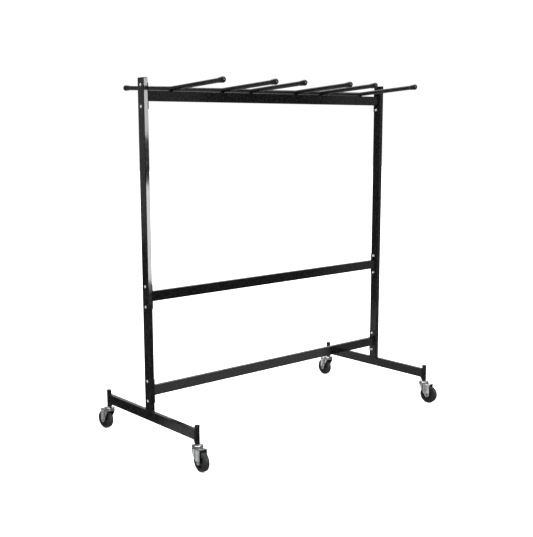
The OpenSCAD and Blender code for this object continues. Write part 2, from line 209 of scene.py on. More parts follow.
def satin_plastic():
    """Moulded black plastic with a fine spark-eroded grain, a little greyer on handled edges."""
    g = Graph("satin_black_plastic")
    wear = g.maths("MULTIPLY", g.edges(), g.remap(g.noise(160, 4), 0.4, 0.7))
    colour = g.mix(g.remap(g.noise(40, 3), 0.3, 0.7), (0.003, 0.003, 0.0033), (0.0055, 0.0055, 0.006))
    colour = g.mix(g.maths("MULTIPLY", wear, 0.4), colour, (0.05, 0.05, 0.052))
    roughness = g.remap(g.noise(70, 4), 0.3, 0.7, 0.2, 0.32)
    return g.finish(colour, roughness, g.noise(1800, 2), 0.00006, 0.25)


def zinc_plate():
    """Bright zinc plate on pressed steel: cloudy patches, fine drawing lines and greyer dull spots."""
    g = Graph("zinc_plated_steel", Metallic=1.0)
    clouds = g.remap(g.noise(60, 4), 0.3, 0.7)
    spots = g.remap(g.noise(220, 5), 0.6, 0.72)
    colour = g.mix(clouds, (0.62, 0.63, 0.64), (0.75, 0.755, 0.76))
    colour = g.mix(g.maths("MULTIPLY", spots, 0.25), colour, (0.4, 0.4, 0.395))
    roughness = g.remap(clouds, 0, 1, 0.27, 0.2)
    roughness = g.maths("ADD", roughness, g.maths("MULTIPLY", spots, 0.2))
    lines = g.noise(260, 3, stretch=(1, 1, 0.08))
    return g.finish(colour, roughness, lines, 0.00005, 0.12)


def nickel_plate():
    """Polished nickel plate on bolts and nuts, with fine turning marks and duller finger marks."""
    g = Graph("nickel_plated_fastener", Metallic=0.7)
    marks = g.remap(g.noise(300, 4), 0.45, 0.7)
    colour = g.mix(marks, (0.86, 0.855, 0.84), (0.7, 0.695, 0.68))
    roughness = g.remap(marks, 0, 1, 0.16, 0.3)
    return g.finish(colour, roughness, g.noise(1400, 2), 0.00003, 0.2)


def bearing_steel():
    """Ground bearing steel under a thin film of grease."""
    g = Graph("ground_bearing_steel", Metallic=1.0, Coat_Weight=0.3)
    film = g.remap(g.noise(240, 3), 0.35, 0.7)
    colour = g.mix(film, (0.62, 0.62, 0.63), (0.36, 0.34, 0.3))
    return g.finish(colour, g.remap(film, 0, 1, 0.1, 0.32), g.noise(2200, 2), 0.00002, 0.15)


def wheel_plastic():
    """Moulded wheel core: harder and smoother than the tyre, with flow marks and a little floor dust."""
    g = Graph("wheel_core_plastic")
    dust = g.remap(g.noise(80, 5), 0.5, 0.75)
    colour = g.mix(g.remap(g.noise(25, 2), 0.3, 0.7), (0.006, 0.006, 0.0065), (0.011, 0.011, 0.0115))
    colour = g.mix(g.maths("MULTIPLY", dust, 0.2), colour, (0.085, 0.082, 0.076))
    roughness = g.remap(g.noise(50, 4), 0.3, 0.7, 0.36, 0.52)
    return g.finish(colour, roughness, g.noise(900, 3), 0.00006, 0.3)


def tyre_rubber(corner):
    """Black rubber, matt and scuffed grey where it rolls. The tread is told by its distance from the axle."""
    g = Graph(f"tyre_rubber_{corner}", Specular_IOR_Level=0.42)
    centre = middle_of(f"{corner}_tyre")
    axis = next(Vector(j["axis"]) for j in frame["joints"] if j["name"] == f"{corner}_roll")
    arm = g.node("VectorMath", {0: g.place, 1: centre}, operation="SUBTRACT").outputs["Vector"]
    across = g.node("VectorMath", {0: arm, 1: axis}, operation="CROSS_PRODUCT").outputs["Vector"]
    radius = g.node("VectorMath", {0: across}, operation="LENGTH").outputs["Value"]
    tread = g.remap(radius, WHEEL_R - 0.004, WHEEL_R - 0.0005)
    scuffs = g.remap(g.noise(130, 6), 0.4, 0.68)
    dust = g.remap(g.noise(35, 5), 0.42, 0.75)
    colour = g.mix(g.remap(g.noise(20, 2), 0.3, 0.7), (0.0065, 0.0065, 0.007), (0.0115, 0.0115, 0.012))
    colour = g.mix(g.maths("MULTIPLY", dust, 0.14), colour, (0.09, 0.087, 0.08))
    worn_tread = g.maths("MULTIPLY", tread, g.remap(scuffs, 0, 1, 0.25, 0.75))
    colour = g.mix(worn_tread, colour, (0.018, 0.0175, 0.017))
    roughness = g.remap(scuffs, 0, 1, 0.3, 0.44)
    roughness = g.maths("ADD", roughness, g.maths("MULTIPLY", tread, 0.08))
    return g.finish(colour, roughness, g.noise(700, 4), 0.00012, 0.4)


COAT = powder_coat()
PLASTIC = satin_plastic()
ZINC = zinc_plate()
NICKEL = nickel_plate()
BEARING = bearing_steel()
CORE_PLASTIC = wheel_plastic()


# Mesh tools


class Form:
    """Points and faces, gathered and then made into one piece."""

    def __init__(self):
        self.points = []
        self.faces = []

    def loft(self, rings, place=Matrix(), capped=True, looped=False):
        """Skins ring after ring of points. A ring of one point is a tip."""
        starts = []
        for ring in rings:
            starts.append(len(self.points))
            self.points.extend(place @ Vector(p) for p in ring)
        spans = list(zip(range(len(rings)), range(1, len(rings))))
        if looped:
            spans.append((len(rings) - 1, 0))
        for a, b in spans:
            self.bridge(starts[a], len(rings[a]), starts[b], len(rings[b]))
        if capped and not looped:
            for ring, start in ((rings[0], starts[0]), (rings[-1], starts[-1])):
                if len(ring) > 1:
                    self.faces.append(list(range(start, start + len(ring))))

    def bridge(self, a, count_a, b, count_b):
        count = max(count_a, count_b)
        for i in range(count):
            j = (i + 1) % count
            corners = [a + i % count_a, a + j % count_a, b + j % count_b, b + i % count_b]
            self.faces.append(list(dict.fromkeys(corners)))

    def lathe(self, profile, place=Matrix(), steps=48, looped=False):
        """Turns a profile of (radius, height) points round Z."""
        rings = []
        for radius, z in profile:
            if radius < 1e-7:
                rings.append([(0, 0, z)])
                continue
            turns = [math.tau * i / steps for i in range(steps)]
            rings.append([(radius * math.cos(a), radius * math.sin(a), z) for a in turns])
        self.loft(rings, place, looped=looped)

    def piece(self, name, material, body, *nodes, slot, outward=True):
        """Makes the piece, which rides on body and stands for the CAD nodes."""
        mesh = bpy.data.meshes.new(name)
        mesh.from_pydata(self.points, [], self.faces)
        if outward:
            solid = bmesh.new()
            solid.from_mesh(mesh)
            bmesh.ops.recalc_face_normals(solid, faces=solid.faces)
            solid.to_mesh(mesh)
            solid.free()
        mesh.shade_smooth()
        mesh.set_sharp_from_angle(angle=SHARP)
        mesh.materials.append(material)
        made = bpy.data.objects.new(name, mesh)
        bpy.context.scene.collection.objects.link(made)
        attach(made, body)
        if nodes:
            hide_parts(*nodes)
        return made


def arc(centre_r, centre_z, radius, start, end, steps=6):
    """Points of a profile along an arc, from start to end in degrees."""
    turns = [math.radians(start + (end - start) * i / steps) for i in range(steps + 1)]
    return [(centre_r + radius * math.cos(a), centre_z + radius * math.sin(a)) for a in turns]


def rounded_ring(width, depth, corner, z, steps=6):
    """Ring round a rectangle with round corners. A point beside each corner keeps the flats' shading flat."""
    beside = min(0.0004, (min(width, depth) / 2 - corner) / 2)
    ring = []
    for quarter, (side_x, side_y) in enumerate(((1, 1), (-1, 1), (-1, -1), (1, -1))):
        middle = Vector((side_x * (width / 2 - corner), side_y * (depth / 2 - corner), z))
        turns = [math.pi / 2 * (quarter + i / steps) for i in range(steps + 1)]
        curve = [middle + corner * Vector((math.cos(a), math.sin(a), 0)) for a in turns]
        before = Vector((-math.sin(turns[0]), math.cos(turns[0]), 0)) * beside
        after = Vector((-math.sin(turns[-1]), math.cos(turns[-1]), 0)) * beside
        ring += [curve[0] - before, *curve, curve[-1] + after]
    return ring


def at(x, y, z):
    return Matrix.Translation((x, y, z))


def turned(degrees, axis):
    return Matrix.Rotation(math.radians(degrees), 4, axis)


def rectangular_tube(form, width, depth, length, place):
    """Tube along Z with a hollow inside and lightly broken end edges."""
    broken = 0.0003
    wall = 2 * TUBE_WALL
    inner_corner = TUBE_CORNER - TUBE_WALL
    ends = (width - 2 * broken, depth - 2 * broken, TUBE_CORNER - broken)
    rings = [
        rounded_ring(*ends, 0),
        rounded_ring(width, depth, TUBE_CORNER, broken),
        rounded_ring(width, depth, TUBE_CORNER, length - broken),
        rounded_ring(*ends, length),
        rounded_ring(width - wall, depth - wall, inner_corner, length),
        rounded_ring(width - wall, depth - wall, inner_corner, 0),
    ]
    form.loft(rings, place, looped=True)


def plate(form, width, depth, corner, thickness, place):
    """Flat plate with round corners and broken edges, its thickness along Z."""
    broken = 0.0005
    rings = [
        rounded_ring(width - 2 * broken, depth - 2 * broken, corner - broken, 0),
        rounded_ring(width, depth, corner, broken),
        rounded_ring(width, depth, corner, thickness - broken),
        rounded_ring(width - 2 * broken, depth - 2 * broken, corner - broken, thickness),
    ]
    form.loft(rings, place)


def weld_bead(form, start, end, radius=WELD_R):
    """Fillet weld from start to end: a rope of small ripples that tapers at both ends."""
    start, end = Vector(start), Vector(end)
    along = end - start
    ripple = 0.0026
    steps_per_ripple = 5
    count = max(2, round(along.length / ripple)) * steps_per_ripple
    side = along.orthogonal().normalized()
    other = along.normalized().cross(side)
    rings = [[start]]
    for i in range(1, count):
        share = i / count
        puddle = 0.86 + 0.14 * (i % steps_per_ripple) / (steps_per_ripple - 1)
        to_end = min(share, 1 - share) * along.length
        taper = math.sqrt(min(1.0, to_end / radius))
        turns = [math.tau * k / 12 for k in range(12)]
        middle = start + along * share
        reach = radius * puddle * taper
        rings.append([middle + reach * (math.cos(a) * side + math.sin(a) * other) for a in turns])
    rings.append([end])
    form.loft(rings)


def hexagon_rings(across, low, high, washer=0.0004):
    """Rings of a hexagon bar along Z with turned-off top corners and a round washer face below."""
    flat = across / 2
    turned_r = flat * 0.97
    turns = [math.tau * i / 48 for i in range(48)]
    reach = [flat / math.cos((a + math.pi / 6) % (math.pi / 3) - math.pi / 6) for a in turns]
    drop = [max(0.0, r - turned_r) * math.tan(math.radians(30)) for r in reach]

    def circle(radius, z):
        return [(radius * math.cos(a), radius * math.sin(a), z) for a in turns]

    return [
        circle(turned_r, low),
        circle(turned_r, low + washer),
        [(r * math.cos(a), r * math.sin(a), low + washer + d) for a, r, d in zip(turns, reach, drop)],
        [(r * math.cos(a), r * math.sin(a), high - d) for a, r, d in zip(turns, reach, drop)],
        circle(turned_r, high),
    ]


# Frame


def uprights():
    low, high = RIGHT_UPRIGHT
    for side, name in zip(SIDES, ("left_upright", "right_upright")):
        form = Form()
        place = at(side * UPRIGHT_X, 0, low.z)
        rectangular_tube(form, TUBE_T, TUBE_W, high.z - low.z, place)
        form.piece(f"{name}_tube", COAT, "rack", name, slot="black_steel")


def upright_plugs():
    """End plugs: a domed lid with rounded edges over a block that fits in the tube."""
    low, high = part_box("upright_plugs")
    seat = RIGHT_UPRIGHT[1].z
    lid = high.z - seat
    edge_start = 0.0004
    steps = 8
    form = Form()
    for side in SIDES:
        place = at(side * UPRIGHT_X, 0, seat)
        rings = [rounded_ring(TUBE_T, TUBE_W, TUBE_CORNER, 0.0001)]
        for i in range(steps + 1):
            turn = math.pi / 2 * 0.93 * i / steps
            inset = 2 * lid * 1.2 * (1 - math.cos(turn))
            z = edge_start + (lid - edge_start) * math.sin(turn)
            rings.append(rounded_ring(TUBE_T - inset, TUBE_W - inset, TUBE_CORNER, z))
        rings.append(rounded_ring(TUBE_T * 0.3, TUBE_W * 0.5, TUBE_CORNER, lid))
        form.loft(rings, place)
        block = 2 * TUBE_WALL + 0.0004
        inner = [
            rounded_ring(TUBE_T - block, TUBE_W - block, 0.001, 0.0001),
            rounded_ring(TUBE_T - block, TUBE_W - block, 0.001, low.z - seat + 0.002),
            rounded_ring(TUBE_T - 1.3 * block, TUBE_W - 1.3 * block, 0.001, low.z - seat),
        ]
        form.loft(inner, place)
    form.piece("upright_end_plugs", PLASTIC, "rack", "upright_plugs", slot="black_plastic")


def foot_beams():
    for side, name in zip(SIDES, ("left_foot_beam", "right_foot_beam")):
        form = Form()
        end_y = SOCKET_Y - SOCKET_R * 0.5
        place = at(side * UPRIGHT_X, end_y, (FOOT[0].z + FOOT_TOP) / 2) @ turned(90, "X")
        rectangular_tube(form, TUBE_T, TUBE_W, 2 * end_y, place)
        form.piece(f"{name}_tube", COAT, "rack", name, slot="black_steel")


def rails():
    for name, z in RAIL_HEIGHTS.items():
        form = Form()
        place = at(-RAIL_END, 0, z) @ turned(90, "Y")
        rectangular_tube(form, TUBE_W, TUBE_T, 2 * RAIL_END, place)
        form.piece(f"{name}_tube", COAT, "rack", name, slot="black_steel")


def rail_flanges():
    for name, z in RAIL_HEIGHTS.items():
        form = Form()
        for side in SIDES:
            inner = at(side * (RAIL_END + FLANGE_T / 2) - FLANGE_T / 2, 0, z)
            plate(form, FLANGE.z, FLANGE.y, 0.004, FLANGE_T, inner @ turned(90, "Y"))
        form.piece(f"{name}_flange_plates", COAT, "rack", f"{name}_flanges", slot="black_steel")


def sockets():
    low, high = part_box("caster_sockets")
    wall = 0.0015
    broken = 0.0004
    form = Form()
    profile = [
        (SOCKET_R - wall, low.z), (SOCKET_R - broken, low.z), (SOCKET_R, low.z + broken),
        (SOCKET_R, high.z - broken), (SOCKET_R - broken, high.z), (SOCKET_R - wall, high.z),
    ]
    for x in (-UPRIGHT_X, UPRIGHT_X):
        for y in (-SOCKET_Y, SOCKET_Y):
            form.lathe(profile, at(x, y, 0), looped=True)
    form.piece("caster_socket_tubes", COAT, "rack", "caster_sockets", slot="black_steel")


def socket_caps():
    """Caps over the sockets, with a rolled edge and a shallow crown."""
    low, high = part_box("socket_caps")
    skirt = high.z - 0.010
    edge = 0.0032
    form = Form()
    profile = [
        (SOCKET_R, skirt + 0.0003), (CAP_R - 0.0004, skirt), (CAP_R, skirt + 0.0008),
        *arc(CAP_R - edge, high.z - 0.0006 - edge, edge, 0, 90, 8),
        (CAP_R * 0.5, high.z - 0.0001), (0, high.z),
    ]
    plug = [(0, low.z), (SOCKET_R - 0.003, low.z), (SOCKET_R - 0.0017, low.z + 0.002)]
    plug += [(SOCKET_R - 0.0017, high.z - 0.008), (0, high.z - 0.008)]
    for x in (-UPRIGHT_X, UPRIGHT_X):
        for y in (-SOCKET_Y, SOCKET_Y):
            form.lathe(profile, at(x, y, 0))
            form.lathe(plug, at(x, y, 0), steps=24)
    form.piece("socket_end_caps", PLASTIC, "rack", "socket_caps", slot="black_plastic")


def socket_gussets():
    """Curved webs under the beams' ends, down to the sockets."""
    low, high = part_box("socket_gussets")
    radius = FOOT[0].z - low.z
    half = (high.x - UPRIGHT_X)
    soft = 0.0012
    form = Form()
    steps = 12
    for x in (-UPRIGHT_X, UPRIGHT_X):
        for side in SIDES:
            rings = []
            for i in range(steps + 1):
                turn = math.pi / 2 * i / steps
                y = SOCKET_Y - SOCKET_R - radius + radius * math.sin(turn)
                z = low.z + radius * math.cos(turn)
                top = FOOT[0].z + 0.001
                outline = [
                    (x - half, top), (x - half, z + soft), (x - half + soft, z),
                    (x + half - soft, z), (x + half, z + soft), (x + half, top),
                ]
                rings.append([(px, side * y, min(pz, top)) for px, pz in outline])
            rings.append([(px, side * (SOCKET_Y - SOCKET_R * 0.6), pz) for px, _, pz in rings[-1]])
            form.loft(rings)
    form.piece("socket_gusset_webs", COAT, "rack", "socket_gussets", slot="black_steel")


def foot_welds():
    """Beads across the upright's base and at each socket, and flush fills along the upright's two sides."""
    form = Form()
    half = TUBE_T / 2 - TUBE_CORNER
    fill_r = TUBE_CORNER - 0.0003
    for x in (-UPRIGHT_X, UPRIGHT_X):
        for y in (-TUBE_W / 2, TUBE_W / 2):
            weld_bead(form, (x - half, y, FOOT_TOP), (x + half, y, FOOT_TOP))
        for side in SIDES:
            edge = x + side * half
            weld_bead(form, (edge, -TUBE_W / 2, FOOT_TOP), (edge, TUBE_W / 2, FOOT_TOP), fill_r)
        for y in (SOCKET_R - SOCKET_Y, SOCKET_Y - SOCKET_R):
            weld_bead(form, (x - half, y, FOOT_TOP), (x + half, y, FOOT_TOP), WELD_R * 0.8)
    form.piece("foot_weld_beads", COAT, "rack", "foot_welds", slot="black_steel")


def rail_welds():
    form = Form()
    half = TUBE_W / 2 - TUBE_CORNER
    for z in RAIL_HEIGHTS.values():
        for x in (-RAIL_END, RAIL_END):
            for y in (-TUBE_T / 2, TUBE_T / 2):
                weld_bead(form, (x, y, z - half), (x, y, z + half))
    form.piece("rail_weld_beads", COAT, "rack", "rail_welds", slot="black_steel")


def bolt_places():
    """Places of the frame bolts, on the uprights' inner faces, with Z pointing outward."""
    inner = RAIL_END + FLANGE_T
    for z in RAIL_HEIGHTS.values():
        for side in SIDES:
            for dz in (-BOLT_SPREAD / 2, BOLT_SPREAD / 2):
                yield at(side * inner, 0, z + dz) @ turned(side * 90, "Y")


def frame_bolts():
    """Domed heads with a small rim, and shanks that reach past the nuts' seats."""
    form = Form()
    dome_r = (BOLT_HEAD_R ** 2 + BOLT_HEAD_H ** 2) / (2 * BOLT_HEAD_H)
    rise = math.degrees(math.asin(BOLT_HEAD_R * 0.96 / dome_r))
    centre = TUBE_T + BOLT_HEAD_H - dome_r
    head = [(0, TUBE_T), (BOLT_HEAD_R * 0.97, TUBE_T), (BOLT_HEAD_R, TUBE_T + 0.0002)]
    head += [(BOLT_HEAD_R, TUBE_T + 0.0006), *arc(0, centre, dome_r, 90 - rise, 90, 12)]
    tip = -FLANGE_T - NUT_H + 0.001
    shank = [(0, tip), (SHANK_R - 0.0006, tip), (SHANK_R, tip + 0.0006)]
    shank += [(SHANK_R, TUBE_T), (0, TUBE_T)]
    for place in bolt_places():
        form.lathe(head, place)
        form.lathe(shank, place, steps=24)
    form.piece("frame_bolt_set", NICKEL, "rack", "frame_bolts", slot="nickel_fasteners")


def frame_nuts():
    """Acorn nuts: a chamfered hexagon with a dome."""
    form = Form()
    dome_r = 0.006
    for place in bolt_places():
        seat = place @ at(0, 0, -FLANGE_T) @ turned(180, "X")
        rings = hexagon_rings(NUT_ACROSS, 0, NUT_H)
        dome = [(r, NUT_H + z) for r, z in arc(0, 0, dome_r, 0, 90, 10)]
        form.loft(rings, seat)
        form.lathe([(dome_r, NUT_H - 0.0005), *dome], seat)
    form.piece("frame_acorn_nuts", NICKEL, "rack", "frame_nuts", slot="nickel_fasteners")


# Hanging arms


ARM_TILT = math.atan2(ARM_RISE, ARM_REACH)
ARM_LENGTH = math.hypot(ARM_REACH, ARM_RISE)
ARM_TUBE = ARM_LENGTH - ARM_END_GAP


def arm_rings(x, radius, length):
    """Rings of a tube that runs from ball to ball, with a short bend where it lies on the rail."""
    bend_r = 0.05
    path = []
    for i in range(-4, 5):
        turn = ARM_TILT * i / 4
        path.append((bend_r * math.sin(turn), bend_r * (1 - math.cos(turn)), turn))
    straight = length - bend_r * math.tan(ARM_TILT / 2)
    end_y, end_z, _ = path[-1]
    for sign in SIDES:
        reach = (sign * (end_y + straight * math.cos(ARM_TILT)), end_z + straight * math.sin(ARM_TILT))
        path.append((*reach, sign * ARM_TILT))
    rings = []
    for y, z, slope in sorted(path):
        turns = [math.tau * k / 32 for k in range(32)]
        ring = []
        for a in turns:
            across, up = radius * math.cos(a), radius * math.sin(a)
            ring.append((x + across, y - up * math.sin(slope), ARM_Z + z + up * math.cos(slope)))
        rings.append(ring)
    return rings


def hanging_arms():
    wall = 0.0015
    for name in ARMS:
        x = middle_of(name).x
        form = Form()
        outer = arm_rings(x, ARM_R, ARM_TUBE)
        inner = arm_rings(x, ARM_R - wall, ARM_TUBE)
        form.loft(outer + inner[::-1], looped=True)
        form.piece(f"{name}_tube", COAT, "rack", name, slot="black_steel")


def arm_end_caps():
    """Moulded ends: a collar that flares over the tube, a narrow waist and a ball with a parting line."""
    form = Form()
    collar = 0.011
    flare = ARM_R + 0.0022
    to_ball = ARM_END_GAP
    waist = flare - 0.0008
    meet = math.degrees(math.asin(waist / BALL_R))
    half_turn = [(BALL_R * math.cos(math.radians(a)), to_ball + BALL_R * math.sin(math.radians(a)))
                 for a in range(round(meet) - 90, 90, 7)]
    seam = [(r + 0.00015 if abs(z - to_ball) < 0.0012 else r, z) for r, z in half_turn]
    profile = [
        (0, -0.012), (ARM_R - 0.0017, -0.012), (ARM_R - 0.0017, 0), (ARM_R + 0.0003, 0),
        (ARM_R + 0.0003, -collar), (ARM_R + 0.0009, -collar), (ARM_R + 0.0013, -collar + 0.0006),
        (ARM_R + 0.0016, -collar / 2), (flare, 0), (flare, 0.0040), (waist, 0.0060),
        *seam, (0, to_ball + BALL_R),
    ]
    for name in ARMS:
        for turn in (0, 180):
            lean = turned(90 - math.degrees(ARM_TILT), "X")
            tip = turned(turn, "Z") @ at(middle_of(name).x, 0, ARM_Z) @ lean
            form.lathe(profile, tip @ at(0, 0, ARM_TUBE), steps=40)
    form.piece("arm_ball_ends", PLASTIC, "rack", "arm_end_caps", slot="black_plastic")


def arm_welds():
    form = Form()
    half = TUBE_T / 2 - TUBE_CORNER
    for name in ARMS:
        for side in SIDES:
            x = middle_of(name).x + side * ARM_R * 0.72
            weld_bead(form, (x, -half, RAIL_TOP), (x, half, RAIL_TOP), WELD_R * 0.95)
    form.piece("arm_weld_beads", COAT, "rack", "arm_welds", slot="black_steel")


# Casters


def race_cups():
    """Pressed race cups: a flat seat under the socket, a round shoulder and a skirt with a rolled lip."""
    low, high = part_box("caster_race_cups")
    shoulder = 0.0062
    sheet = 0.0022
    form = Form()
    profile = [
        (0.0056, high.z), (0.0150, high.z), (0.0160, high.z - 0.0004),
        *arc(CUP_R - shoulder - 0.0006, high.z - shoulder - 0.0006, shoulder, 82, 6, 10),
        (CUP_R - 0.0008, low.z + 0.0024), *arc(CUP_R - 0.0010, low.z + 0.0011, 0.0010, 60, -90, 5),
        (CUP_R - sheet, low.z + 0.0003), (CUP_R - sheet - 0.0004, high.z - 0.0085),
        (CUP_R - 0.008, high.z - 0.0060), (0.0056, high.z - 0.006),
    ]
    for x in (-UPRIGHT_X, UPRIGHT_X):
        for y in (-SOCKET_Y, SOCKET_Y):
            form.lathe(profile, at(x, y, 0), steps=64, looped=True)
    form.piece("caster_race_cup_set", ZINC, "rack", "caster_race_cups", slot="zinc_steel")


def corner_place(corner):
    """Place of a caster's swivel axis on the floor, with X along its trail, and the trail's length."""
    swivel = next(Vector(j["pos_m"]) for j in frame["joints"] if j["name"] == f"{corner}_swivel")
    trail = middle_of(f"{corner}_tyre") - swivel
    turn = math.atan2(trail.y, trail.x)
    place = at(swivel.x, swivel.y, 0) @ Matrix.Rotation(turn, 4, "Z")
    return place, math.hypot(trail.x, trail.y)


def skirt_low(x, trail):
    """Height of the fork's lower edge at x: the crown's rim, then the leg's slope, then its round end."""
    rim_low = CROWN_TOP - CROWN_RIM_H
    tangent = math.radians(31)
    slope_x = trail - LEG_END_R * math.cos(tangent)
    slope_z = AXLE_Z - LEG_END_R * math.sin(tangent)
    if x <= LEG_BACK:
        return rim_low
    if x <= slope_x:
        return rim_low + (slope_z - rim_low) * (x - LEG_BACK) / (slope_x - LEG_BACK)
    return AXLE_Z - math.sqrt(max(0.0, LEG_END_R ** 2 - (x - trail) ** 2))


def fork_side(trail):
    """Points of the fork's outline from above, from its front corner round to the middle of its back."""
    points = []
    for i in range(11):
        x = trail + LEG_END_R * math.cos(math.radians(15 * i))
        points.append((x, FORK_HALF_W))
    start = math.asin(FORK_HALF_W / CROWN_R)
    last_x = points[-1][0]
    meet_x = CROWN_R * math.cos(start)
    points.append((last_x + (meet_x - last_x) * 0.7, FORK_HALF_W + 0.0002))
    turns = 20
    for i in range(turns + 1):
        turn = start + (math.pi - start) * i / turns
        lift = 0.0003 if i == 0 else 0
        points.append((CROWN_R * math.cos(turn), CROWN_R * math.sin(turn) + lift))
    points[-1] = (-CROWN_R, 0)
    return points


def pressed_in(x, z, trail):
    """Depth of the long panel pressed into each leg, soft at its edges."""
    along = smooth_step((z - AXLE_Z - 0.006) / 0.005) * smooth_step((CROWN_TOP - 0.009 - z) / 0.004)
    across = smooth_step((x - trail + 0.009) / 0.003) * smooth_step((trail + 0.009 - x) / 0.003)
    return 0.0007 * along * across


def smooth_step(share):
    share = min(1.0, max(0.0, share))
    return share * share * (3 - 2 * share)


def fork_strip(point, inward, trail):
    """Outer skin of the fork at one point of its outline, from the crown over the bend to the lower edge."""
    bend = 0.004
    steps = 5
    rows = 18
    strip = []
    for i in range(steps + 1):
        turn = math.pi / 2 * i / steps
        reach = bend * (1 - math.sin(turn))
        strip.append((*(point + inward * reach), CROWN_TOP - bend * (1 - math.cos(turn))))
    top, low = CROWN_TOP - bend, skirt_low(point.x, trail)
    for i in range(1, rows + 1):
        z = top + (low - top) * i / rows
        strip.append((*(point + inward * pressed_in(point.x, z, trail)), z))
    return strip


def fork(corner):
    """Pressed fork: a crown with a round back and a skirt that runs down into two legs, and the ball race."""
    place, trail = corner_place(corner)
    half = fork_side(trail)
    outline = [Vector((x, -y)) for x, y in half] + [Vector(p) for p in half[-2::-1]]
    sheet = Form()
    strips = []
    for i, point in enumerate(outline):
        before = outline[max(i - 1, 0)]
        after = outline[min(i + 1, len(outline) - 1)]
        along = (after - before).normalized()
        inward = Vector((along.y, -along.x))
        strips.append(fork_strip(point, inward, trail))
    height = len(strips[0])
    for strip in strips:
        sheet.points.extend(place @ Vector(p) for p in strip)
    for i in range(len(strips) - 1):
        for j in range(height - 1):
            a = i * height + j
            sheet.faces.append([a, a + height, a + 1 + height, a + 1])
    sheet.faces.append([i * height for i in reversed(range(len(strips)))])
    made = sheet.piece(
        f"{corner}_fork_sheet", ZINC, f"{corner}_swivel", f"{corner}_fork", slot="zinc_steel", outward=False
    )
    thickness = made.modifiers.new("sheet", "SOLIDIFY")
    thickness.thickness = FORK_SHEET
    thickness.offset = -1
    rounding = made.modifiers.new("broken_edges", "BEVEL")
    rounding.width = 0.0005
    rounding.segments = 2
    rounding.limit_method = "ANGLE"
    rounding.angle_limit = math.radians(50)
    race = Form()
    race_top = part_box(f"{corner}_fork")[1].z
    profile = [
        (0.0052, CROWN_TOP - 0.001), (0.0052, race_top - 0.0012), (0.014, race_top - 0.0008),
        (0.0160, race_top), *arc(0.019, race_top + 0.0015, 0.0026, 195, 345, 8), (0.0215, race_top),
        *arc(0.0225, race_top - 0.0014, 0.0014, 90, 0, 4), (0.0240, CROWN_TOP + 0.0008),
        (0.0248, CROWN_TOP - 0.0005),
    ]
    race.lathe(profile, place, steps=56)
    race.piece(f"{corner}_fork_race", ZINC, f"{corner}_swivel", f"{corner}_fork", slot="zinc_steel")


def axle_fasteners(corner):
    """Hexagon bolt with washers at the fork's legs, and a lock nut with its nylon collar."""
    place, trail = corner_place(corner)
    axle = place @ at(trail, 0, AXLE_Z) @ turned(90, "X")
    bolt = Form()
    head_low = FORK_HALF_W + 0.0012
    washer = [
        (0.0042, 0), (0.0084, 0), (0.0088, 0.0003),
        (0.0088, 0.0009), (0.0084, 0.0012), (0.0042, 0.0012),
    ]
    bolt.lathe([(r, FORK_HALF_W + z) for r, z in washer], axle, looped=True)
    bolt.loft(hexagon_rings(NUT_ACROSS, head_low, head_low + 0.0038), axle)
    end = FORK_HALF_W + 0.0075
    shank = [
        (0, -end), (SHANK_R - 0.0006, -end), (SHANK_R, -end + 0.0006),
        (SHANK_R, head_low), (0, head_low),
    ]
    bolt.lathe(shank, axle, steps=32)
    bolt.piece(f"{corner}_axle_hex_bolt", ZINC, f"{corner}_swivel", f"{corner}_axle_bolt", slot="zinc_steel")
    nut = Form()
    outward = axle @ turned(180, "X") @ at(0, 0, FORK_HALF_W)
    nut.lathe(washer, outward, looped=True)
    nut.loft(hexagon_rings(NUT_ACROSS, 0.0012, 0.0050), outward)
    collar = [(SHANK_R, 0.0048), (0.0058, 0.0048), *arc(0.0050, 0.0057, 0.0008, 0, 90, 4), (SHANK_R, 0.0060)]
    nut.lathe(collar, outward, looped=True)
    nut.piece(f"{corner}_axle_lock_nut", ZINC, f"{corner}_swivel", f"{corner}_axle_nut", slot="zinc_steel")


def wheel_core(corner):
    """Moulded core: rim with a rounded lip, dished web with a ring step, and a hub boss."""
    place, trail = corner_place(corner)
    axle = place @ at(trail, 0, AXLE_Z) @ turned(90, "X")
    rim_half = 0.0125
    web_half = 0.004
    bore = 0.0051
    side = [
        (bore, HUB_HALF_W), (0.0080, HUB_HALF_W),
        (0.0086, HUB_HALF_W - 0.0006), (0.0092, HUB_HALF_W - 0.0030),
        (0.0112, HUB_HALF_W - 0.0036), (0.0119, HUB_HALF_W - 0.0046),
        *arc(0.0144, 0.0065, 0.0025, 180, 270, 4),
        (0.0190, web_half), (0.0196, web_half + 0.0008), (0.0215, web_half + 0.0008), (0.0221, web_half),
        *arc(0.0258, 0.0062, 0.0022, 270, 360, 4), (0.0283, rim_half - 0.0008), (0.0290, rim_half),
        (0.0318, rim_half), (CORE_R, rim_half - 0.0010),
    ]
    profile = side + [(r, -z) for r, z in side[::-1]]
    form = Form()
    form.lathe(profile, axle, steps=72, looped=True)
    form.piece(
        f"{corner}_wheel_core_moulding", CORE_PLASTIC, f"{corner}_wheel", f"{corner}_wheel_core",
        slot="wheel_plastic",
    )


